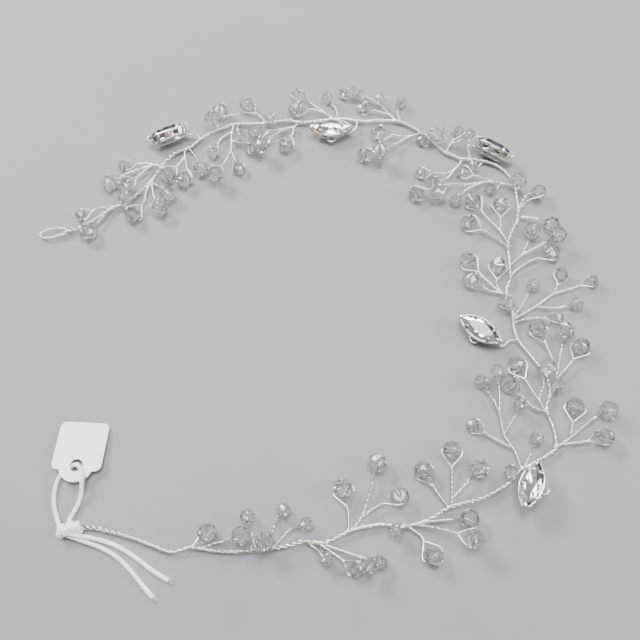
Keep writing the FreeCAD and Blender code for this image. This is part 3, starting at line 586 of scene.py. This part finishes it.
# ---- stones and their claw settings ----
# each row of facet corners: its share of the length, its share of the width, and its height
stone = {"columns": 16, "crown": 1.7 * mm, "table": (0.62, 0.56, 1.7 * mm),
         "star": (0.83, 0.8, 1.054 * mm), "edge": (1, 1, 0.3 * mm), "girdle": (1, 1, 0),
         "pavilion": (0.62, 0.6, -1.3 * mm), "culet": (0.2, 0.08, -2.5 * mm)}
# how strongly the corners gather at a navette's tips
gather = 0.55


def stoneFrame(name):
    # the stone's own axes: along its length, across it, and up through its table
    points = np.array([v.co for v in nodes["crystal_" + name].data.vertices])
    metal = np.array([v.co for v in nodes["setting_" + name].data.vertices])
    corners = np.unique(np.round(points, 7), axis=0)
    centre = corners.mean(0)
    spread = np.linalg.svd(corners - centre, full_matrices=False)[2]
    along, across, up = spread
    if np.dot(up, centre - metal.mean(0)) < 0:
        up = -up
    across = np.cross(up, along)
    # a setting's side loop is on its negative side
    sides = (metal - centre) @ across
    if sides.max() > -sides.min() + sideLoop["least"]:
        along, across = -along, -across
    local = (points - centre) @ np.stack([along, across, up]).T
    low, high = local.min(0), local.max(0)
    # the girdle is where the stone is longest
    middle = centre + along * (low[0] + high[0]) / 2 + across * (low[1] + high[1]) / 2
    girdle = high[2] - stone["crown"]
    turn = Matrix([along, across, up]).transposed()
    return {"turn": turn, "centre": Vector(middle + up * girdle), "length": high[0] - low[0],
            "width": high[1] - low[1]}


def lensPoint(share, length, width, side):
    # a point of a navette's outline; share runs from -1 at one tip to 1 at the other
    radius = (length**2 / 4 + width**2 / 4) / width
    x = share * length / 2
    return x, side * (math.sqrt(max(0.0, radius**2 - x * x)) - (radius - width / 2))


def lensRing(length, width, height, count, twist=0.0):
    ring = []
    for k in range(count):
        share = 2 * ((k + twist) % count) / count
        across = 1 if share <= 1 else -1
        run = 1 - 2 * share if share <= 1 else 2 * share - 3
        run = math.sin(run * math.pi / 2) * gather + run * (1 - gather)
        x, y = lensPoint(run, length, width, across)
        ring.append((x, y, height))
    return ring


def addCrystal(skin, place):
    length, width, count = place["length"], place["width"], stone["columns"]
    half = count // 2
    rows = []
    for row, corners, twist in (("table", half, 0), ("star", half, 0.5), ("edge", count, 0),
                                ("girdle", count, 0), ("pavilion", half, 0.5), ("culet", half, 0)):
        longShare, wideShare, height = stone[row]
        rows.append(lensRing(length * longShare, width * wideShare, height, corners, twist))
    starts = np.cumsum([0] + [len(r) for r in rows])
    points = [place["centre"] + place["turn"] @ Vector(p) for row in rows for p in row]
    crown, back = [list(range(starts[0], starts[1]))[::-1]], []
    for k in range(half):
        j = (k + 1) % half
        top, topNext = starts[0] + k, starts[0] + j
        star, starLast = starts[1] + k, starts[1] + (k - 1) % half
        rim, mid = starts[2] + 2 * k, starts[2] + 2 * k + 1
        rimNext = starts[2] + (2 * k + 2) % count
        crown += [[top, topNext, star], [top, star, rim, starLast]]
        crown += [[star, mid, rim], [star, rimNext, mid]]
        low, lowMid, lowNext = rim + count, mid + count, rimNext + count
        crown += [[rim, mid, lowMid, low], [mid, rimNext, lowNext, lowMid]]
        deep, deepLast = starts[4] + k, starts[4] + (k - 1) % half
        tip, tipNext = starts[5] + k, starts[5] + j
        back += [[low, lowMid, deep], [lowMid, lowNext, deep]]
        back += [[low, deep, tip, deepLast], [tip, deep, tipNext]]
    back.append([starts[5] + k for k in range(half)])
    skin.add(points, crown, kind=0, smooth=False)
    skin.add(points, back, kind=1, smooth=False)


# the setting is a stamped cup: near-upright walls with slots, pressed bands and rolled rims
cup = {"wall": 0.45 * mm, "gap": 0.05 * mm, "foot": 0.88, "depth": 2.95 * mm, "columns": 48,
       "slot": 2.5 * mm, "slotPlace": 0.2, "low": -2.05 * mm, "high": -0.95 * mm,
       "lip": -0.25 * mm, "top": 0.1 * mm, "footInset": 0.1 * mm, "topInset": 0.12 * mm,
       "innerShare": 0.9}
rims = [{"inset": 0.2 * mm, "height": -2.78 * mm, "radius": 0.19 * mm},
        {"inset": 0.16 * mm, "height": -0.18 * mm, "radius": 0.17 * mm}]
# a place is a share of the length and a side; a stand is a share of the outline, how far off it
# and how high, in the same order from the base up
claws = {"places": [(-0.27, 1), (0.27, 1), (-0.27, -1), (0.27, -1)], "width": 1.15 * mm,
         "shape": [1, 0.95, 0.5], "thick": 0.32 * mm,
         "stands": [(1, 0.4 * mm, 0.2 * mm), (1, -0.12 * mm, 0.72 * mm), (1, -0.95 * mm, 1.2 * mm)]}
bands = {"places": [(0, 1), (0, -1), (-0.42, 1), (-0.42, -1), (0.42, 1), (0.42, -1)],
         "shape": [0.7, 0.5, 0.5], "lean": 0.12,
         "stands": [(0.9, 0.36 * mm, -2.85 * mm), (0.94, 0.42 * mm, -1.7 * mm),
                    (1, 0.42 * mm, -0.5 * mm)]}
tipCap = {"widths": [1.5 * mm, 1.6 * mm, 0.6 * mm],
          "stands": [(0.91, 0.3 * mm, -2.55 * mm), (0.95, 0.35 * mm, -1.5 * mm),
                     (1, 0.32 * mm, 0.2 * mm), (1, -0.4 * mm, 0.72 * mm),
                     (1, -1.5 * mm, 0.95 * mm)]}
channel = {"drop": 0.54 * mm, "places": (-1, -0.98, 0, 0.98, 1), "sides": 16,
           "radii": [0.7 * mm, 0.82 * mm, 0.82 * mm, 0.82 * mm, 0.7 * mm]}
sideLoop = {"radius": 1.5 * mm, "wire": 0.25 * mm, "of": ("second", "sixth", "seventh"),
            "least": 0.1 * mm, "steps": 18}
strapStep = 0.2 * mm


def ribbon(path, across, widths, thick):
    # a flat strap along a path, with rounded-off corners
    points, faces = [], []
    path = np.asarray(path, float)
    ahead = np.gradient(path, axis=0)
    for place, way, width in zip(path, ahead, widths):
        out = np.cross(way, across)
        out /= np.linalg.norm(out) + tiny
        w, t = width / 2, thick / 2
        outline = [(-w, -t * 0.5), (-w * 0.8, -t), (w * 0.8, -t), (w, -t * 0.5), (w, t * 0.4),
                   (w * 0.6, t), (-w * 0.6, t), (-w, t * 0.4)]
        points += [place + across * a + out * b for a, b in outline]
    count = len(outline)
    for ring in range(len(path) - 1):
        for k in range(count):
            j = (k + 1) % count
            faces.append([ring * count + k, ring * count + j, (ring + 1) * count + j,
                          (ring + 1) * count + k])
    faces.append(list(range(count))[::-1])
    faces.append([(len(path) - 1) * count + k for k in range(count)])
    return points, faces


def cupRing(place, inset, height):
    # the wall's outline at a height; inset goes from the outer face inwards
    length = place["length"] + 2 * (cup["wall"] + cup["gap"] - inset)
    width = place["width"] + 2 * (cup["wall"] + cup["gap"] - inset)
    share = 1 + (cup["foot"] - 1) * min(1.0, -height / cup["depth"])
    return lensRing(length * share, width * share, height, cup["columns"])


def addWall(skin, place, toWorld):
    # inner and outer skins from the base to the girdle, open at the slots
    heights = [-cup["depth"], cup["low"], cup["high"], cup["lip"], cup["top"]]
    insets = [cup["footInset"], 0, 0, 0, cup["topInset"]]
    count = cup["columns"]
    outer = [cupRing(place, inset, h) for inset, h in zip(insets, heights)]
    inner = [cupRing(place, cup["wall"] * cup["innerShare"], h) for h in heights]
    points = [toWorld(p) for ring in outer + inner for p in ring]
    rows = len(heights)
    faces = []

    def isSlot(k):
        x = (outer[1][k][0] + outer[1][(k + 1) % count][0]) / 2
        y = outer[1][k][1]
        isBeside = abs(y) > place["width"] * cup["slotPlace"]
        return isBeside and abs(abs(x) - place["length"] * cup["slotPlace"]) < cup["slot"] / 2

    for row in range(rows - 1):
        for k in range(count):
            j = (k + 1) % count
            if row == 1 and isSlot(k):
                a, b = row * count, (row + rows) * count
                if not isSlot(j):
                    faces.append([a + j, b + j, b + count + j, a + count + j])
                if not isSlot(k - 1):
                    faces.append([a + k, a + count + k, b + count + k, b + k])
                for edge in (row, row + 1):
                    inside = (edge + rows) * count
                    near = [edge * count + k, inside + k, inside + j, edge * count + j]
                    faces.append(near if edge == row else near[::-1])
                continue
            a, b = row * count, (row + 1) * count
            faces.append([a + k, b + k, b + j, a + j])
            a, b = a + rows * count, b + rows * count
            faces.append([a + k, a + j, b + j, b + k])
    a, b = (rows - 1) * count, (2 * rows - 1) * count
    for k in range(count):
        j = (k + 1) % count
        faces.append([a + k, b + k, b + j, a + j])
    faces.append(list(range(count)))
    skin.add(points, faces)


def addSetting(skin, name, place):
    length, width = place["length"], place["width"]

    def toWorld(p):
        return np.array(place["centre"] + place["turn"] @ Vector(p))

    def toWay(p):
        return np.array(place["turn"] @ Vector(p))

    def strapPath(edge, out, stands):
        local = [edge * share + out * off + (0, 0, height) for share, off, height in stands]
        return smoothPath([toWorld(p) for p in local], strapStep)

    addWall(skin, place, toWorld)
    # rolled rims at the base and under the girdle
    for rim in rims:
        ring = cupRing(place, rim["inset"], rim["height"])
        skin.add(*tube([toWorld(p) for p in ring], rim["radius"], 6, closed=True))
    # bands pressed around the middle and beside the tips, and the claws that rise from them
    for share, side in claws["places"] + bands["places"]:
        isClaw = (share, side) in claws["places"]
        x, y = lensPoint(2 * share, length, width, side)
        out = np.array((x * bands["lean"], y, 0))
        out /= np.linalg.norm(out)
        stands = bands["stands"] + (claws["stands"] if isClaw else [])
        path = strapPath(np.array((x, y, 0)), out, stands)
        shape = claws["shape"] if isClaw else bands["shape"]
        widths = claws["width"] * np.interp(np.linspace(0, 1, len(path)), [0, 0.75, 1], shape)
        skin.add(*ribbon(path, np.cross(toWay(out), toWay((0, 0, 1))), widths, claws["thick"]))
    # a folded cap over each tip
    for end in (-1, 1):
        out = np.array((end, 0, 0))
        path = strapPath(out * length / 2, out, tipCap["stands"])
        widths = np.interp(np.linspace(0, 1, len(path)), [0, 0.5, 1], tipCap["widths"])
        skin.add(*ribbon(path, toWay((0, 1, 0)), widths, claws["thick"]))
    # the wire's channel under the base
    under = -cup["depth"] - channel["drop"]
    line = [toWorld((x * length / 4, 0, under)) for x in channel["places"]]
    skin.add(*tube(line, channel["radii"], channel["sides"]))
    if name in sideLoop["of"]:
        radius, wire = sideLoop["radius"], sideLoop["wire"]
        foot = (cup["wall"] - (width + 2 * (cup["wall"] + cup["gap"])) * cup["foot"]) / 2
        arc = [toWorld((radius * math.cos(a), foot + radius * math.sin(a), wire - cup["depth"]))
               for a in np.linspace(math.pi, fullTurn, sideLoop["steps"])]
        skin.add(*tube(arc, wire, 8))


for name in sections:
    if "crystal_" + name not in nodes:
        continue
    place = stoneFrame(name)
    print("stone", name, round(place["length"] / mm, 2), "by", round(place["width"] / mm, 2), "mm")
    gem, metal = Skin(), Skin()
    addCrystal(gem, place)
    addSetting(metal, name, place)
    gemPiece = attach(gem.toObject("navette_" + name, [stoneGlass, stoneFoil]), "stone_" + name)
    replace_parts(gemPiece, "crystal_" + name)
    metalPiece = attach(metal.toObject("clawSetting_" + name, [settingSilver]), "stone_" + name)
    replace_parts(metalPiece, "setting_" + name)
print("stones made")


# ---- cotton string: three plies and loose fibres along the laid route ----
string = {"diameter": 1.4 * mm, "ply": 0.37 * mm, "offset": 0.34 * mm, "lay": 3.4 * mm,
          "sway": 0.1, "step": 0.16 * mm, "curve": 16}
# fibres per millimetre of string, and how near the table they may come
fibre = {"radius": 0.018 * mm, "each": 9, "bend": 0.3, "root": 0.4, "shortest": 0.2 * mm,
         "longest": 0.75 * mm, "lowest": 0.04 * mm}
fray = {"count": 46, "radius": 0.0234 * mm, "spread": 0.22 * mm, "open": 0.25,
        "shortest": 0.4 * mm, "longest": 1.3 * mm}
stringRoutes = {
    "string_loop": [(-73.6, -77.3, 1.9), (-75.2, -74.8, 0.8), (-77.1, -70.3, 0.72),
                    (-77.6, -65.4, 0.72), (-76.3, -61.2, 0.72), (-73.9, -59.3, 0.8),
                    (-72.1, -58.6, 2.0), (-70.7, -59, 3.4), (-69.1, -61, 3.9), (-68.5, -64.3, 3.8),
                    (-68.9, -68.3, 1.6), (-70.1, -71.6, 0.8), (-71.3, -74.8, 1.9)],
    "string_tail_long": [(-70.9, -79.5, 1.9), (-66.7, -80.9, 1.2), (-61.9, -82.4, 0.72),
                         (-56.9, -84.8, 0.72), (-52.7, -88.2, 0.72), (-49.2, -91.9, 0.72),
                         (-44.9, -96.2, 0.72)],
    "string_tail_short": [(-71.7, -79.1, 3.1), (-67.1, -79.6, 2.3), (-61.3, -80.6, 0.8),
                          (-55.7, -82.6, 0.72), (-50.3, -85.8, 0.72), (-45.5, -89.3, 0.72),
                          (-40.9, -91.7, 0.72)],
}


def routeLine(points):
    # the smooth line that a curve of order three takes through its control points
    curve = bpy.data.curves.new("route", "CURVE")
    curve.dimensions = "3D"
    spline = curve.splines.new("NURBS")
    spline.points.add(len(points) - 1)
    for control, point in zip(spline.points, points):
        control.co = (*[c * mm for c in point], 1)
    spline.order_u = 3
    spline.use_endpoint_u = True
    spline.resolution_u = string["curve"]
    holder = bpy.data.objects.new("route", curve)
    bpy.context.scene.collection.objects.link(holder)
    mesh = holder.to_mesh()
    line = [np.array(v.co) for v in mesh.vertices]
    holder.to_mesh_clear()
    bpy.data.objects.remove(holder)
    return line


def evenly(line):
    return spaced(np.asarray(line, float), string["step"], 1)


def lengthOf(path):
    return float(lengthsAlong(path)[-1])


def addPlies(skin, path):
    start = chance.uniform(0, 6)
    for strand in wound(path, string["offset"], 3, string["lay"], start, string["sway"]):
        skin.add(*tube(strand, string["ply"], 8))


def addFuzz(skin, path, thickness=1.0):
    # short fibres that stand off the surface, and never under the table
    for _ in range(int(fibre["each"] * thickness * lengthOf(path) / mm)):
        spot = path[chance.randrange(len(path))]
        way = np.array([chance.gauss(0, 1) for _ in range(3)])
        way /= np.linalg.norm(way)
        bend = np.array([chance.gauss(0, 1) for _ in range(3)]) * fibre["bend"]
        start = spot + way * string["diameter"] * fibre["root"]
        reach = chance.uniform(fibre["shortest"], fibre["longest"])
        line = [start + (way * t + bend * t * t) * reach for t in (0, 0.35, 0.7, 1)]
        if min(p[2] for p in line) >= fibre["lowest"]:
            skin.add(*tube(line, fibre["radius"], 3))


def addFrayedEnd(skin, path):
    way = path[-1] - path[-4]
    way /= np.linalg.norm(way)
    for _ in range(fray["count"]):
        aside = np.array([chance.gauss(0, 1), chance.gauss(0, 1), chance.gauss(0, 0.6)])
        start = path[-2] + aside * fray["spread"]
        reach = chance.uniform(fray["shortest"], fray["longest"])
        line = [start + (way * t + aside * fray["open"] * t * t) * reach for t in (0, 0.4, 0.8, 1)]
        if min(p[2] for p in line) > fibre["lowest"]:
            skin.add(*tube(line, fray["radius"], 3))


# ---- the card: its edges are softened ----
cardEdge = {"flat": 0.02, "sharp": 1.2, "round": 0.07 * mm, "segments": 2}
tag = bpy.data.objects.new("paperTag", nodes["price_tag"].data.copy())
bpy.context.scene.collection.objects.link(tag)


def shapeTag():
    mesh = bmesh.new()
    mesh.from_mesh(tag.data)
    bmesh.ops.remove_doubles(mesh, verts=mesh.verts, dist=weld)
    bmesh.ops.dissolve_limit(mesh, angle_limit=cardEdge["flat"], verts=mesh.verts,
                             edges=mesh.edges)
    borders = [e for e in mesh.edges
               if len(e.link_faces) == 2 and e.calc_face_angle() > cardEdge["sharp"]]
    bmesh.ops.bevel(mesh, geom=borders, offset=cardEdge["round"], segments=cardEdge["segments"],
                    affect="EDGES", clamp_overlap=True)
    mesh.to_mesh(tag.data)
    mesh.free()
    tag.data.materials.clear()
    tag.data.materials.append(card)
    for face in tag.data.polygons:
        face.use_smooth = False


shapeTag()
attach(tag, "tag")
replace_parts(tag, "price_tag")

def cottonPiece(skin, name):
    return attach(skin.toObject(name, [cotton]), "string")


for name, points in stringRoutes.items():
    isLoop = name == "string_loop"
    path = evenly(routeLine(points))
    skin, fuzz = Skin(), Skin()
    addPlies(skin, path)
    addFuzz(fuzz, path)
    if not isLoop:
        addFrayedEnd(fuzz, path)
    piece = cottonPiece(skin, name + "_plies")
    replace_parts(piece, name)
    fibres = cottonPiece(fuzz, name + "_fibres")
    print(name, "length", round(lengthOf(path) / mm, 2), "mm")


# the knot: turns around the wire's end, then one crossing over them, given by how far along the
# wire, aside and up each point is
knot = {"radius": 1.46 * mm, "length": 6.2 * mm, "turns": 4.2, "start": 0.5, "flat": 0.95,
        "steps": 90, "fuzz": 2.2, "near": 5 * mm, "inward": 0.25,
        "crossing": ((-3.1, 0.9, -0.5), (-2.9, 0.3, 0.9), (-1.2, -0.5, 1.38), (1.0, 0.3, 1.38),
                     (2.7, -0.2, 0.9), (3.1, -0.9, -0.4))}


def buildKnot():
    low, high = (np.array(c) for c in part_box("string_knot"))
    centre = (low + high) / 2
    way = ropePath[-1] - ropePath[-8]
    way /= np.linalg.norm(way)
    side = np.cross((0, 0, 1), way)
    side /= np.linalg.norm(side)
    up = np.cross(way, side)
    skin, fuzz = Skin(), Skin()
    turns = []
    for s in np.linspace(-0.5, 0.5, knot["steps"]):
        angle = fullTurn * knot["turns"] * s + knot["start"]
        around = math.cos(angle) * side + math.sin(angle) * up * knot["flat"]
        turns.append(centre + way * s * knot["length"] + knot["radius"] * around)
    addPlies(skin, evenly(turns))
    addFuzz(fuzz, evenly(turns), knot["fuzz"])
    over = [centre + way * a * mm + side * b * mm + up * c * mm for a, b, c in knot["crossing"]]
    cross = smoothPath(over, string["step"])
    addPlies(skin, cross)
    addFuzz(fuzz, cross)
    # the loop and the tails run on into the knot
    for points in stringRoutes.values():
        for end in (points[0], points[-1]):
            start = np.array(end) * mm
            if np.linalg.norm(start - centre) < knot["near"]:
                inner = centre + (start - centre) * knot["inward"]
                addPlies(skin, smoothPath([start, (start + inner) / 2, inner], string["step"]))
    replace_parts(cottonPiece(skin, "tiedKnot"), "string_knot")
    cottonPiece(fuzz, "tiedKnot_fibres")


buildKnot()
print("string and tag made")


# ---- floor, light and camera ----
def floorMaterial():
    made, shader, place = newMaterial("paleFloor")
    cloud = place.noise(14.0, 2.0)
    drive(shader,
          Base_Color=cloud.mix((0.23, 0.24, 0.25, 1), (0.26, 0.27, 0.28, 1)),
          Roughness=0.75 + 0.1 * cloud)
    return made


far = 3
floorCorners = [(-far, -far, 0), (far, -far, 0), (far, far, 0), (-far, far, 0)]
floorMesh = bpy.data.meshes.new("floor")
floorMesh.from_pydata(floorCorners, [], [(0, 1, 2, 3)])
floorMesh.materials.append(floorMaterial())
floor = bpy.data.objects.new("floor", floorMesh)
bpy.context.scene.collection.objects.link(floor)

skyLight = {"low": 0.25, "high": 0.95, "strength": 0.5, "dark": (0.15, 0.155, 0.16, 1),
            "bright": (0.9, 0.92, 0.95, 1)}
world = bpy.data.worlds.new("studio")
world.use_nodes = True
sky = Socket(world.node_tree, world.node_tree.nodes.new("ShaderNodeTexCoord").outputs["Generated"])
height = sky.node("ShaderNodeSeparateXYZ", out=2, feeds={0: sky})
shade = height.between(skyLight["low"], skyLight["high"]).mix(skyLight["dark"], skyLight["bright"])
backdrop = world.node_tree.nodes["Background"]
world.node_tree.links.new(shade.output, backdrop.inputs[0])
backdrop.inputs[1].default_value = skyLight["strength"]
bpy.context.scene.world = world


def addLight(name, place, width, power, tone):
    data = bpy.data.lights.new(name, "AREA")
    data.shape = "RECTANGLE"
    data.size, data.size_y = width
    data.energy = power
    data.color = tone
    light = bpy.data.objects.new(name, data)
    light.location = place
    light.rotation_euler = (-Vector(place)).to_track_quat("-Z", "Y").to_euler()
    bpy.context.scene.collection.objects.link(light)


addLight("overheadBox", (0.0, 0.08, 0.85), (0.42, 0.34), 11.4, (1.0, 0.985, 0.97))
addLight("keyLight", (-0.45, 0.4, 0.5), (0.3, 0.18), 8.6, (1.0, 0.96, 0.91))
addLight("fillLight", (0.6, -0.05, 0.4), (0.1, 0.4), 2.9, (0.94, 0.97, 1.0))
addLight("rimLight", (0.15, 0.7, 0.25), (0.5, 0.06), 2.4, (1.0, 0.98, 0.95))

# the view from 65 degrees above the table
view = {"lens": 39.4, "sensor": 36.0, "nearest": 0.01, "place": (0.0023, -0.1087, 0.213),
        "aim": (0.0023, -0.0094, 0)}
camera = bpy.data.objects.new("camera", bpy.data.cameras.new("camera"))
camera.data.lens = view["lens"]
camera.data.sensor_width = view["sensor"]
camera.data.clip_start = view["nearest"]
camera.location = view["place"]
ahead = Vector(view["aim"]) - Vector(view["place"])
camera.rotation_euler = ahead.to_track_quat("-Z", "Y").to_euler()
bpy.context.scene.collection.objects.link(camera)
bpy.context.scene.camera = camera
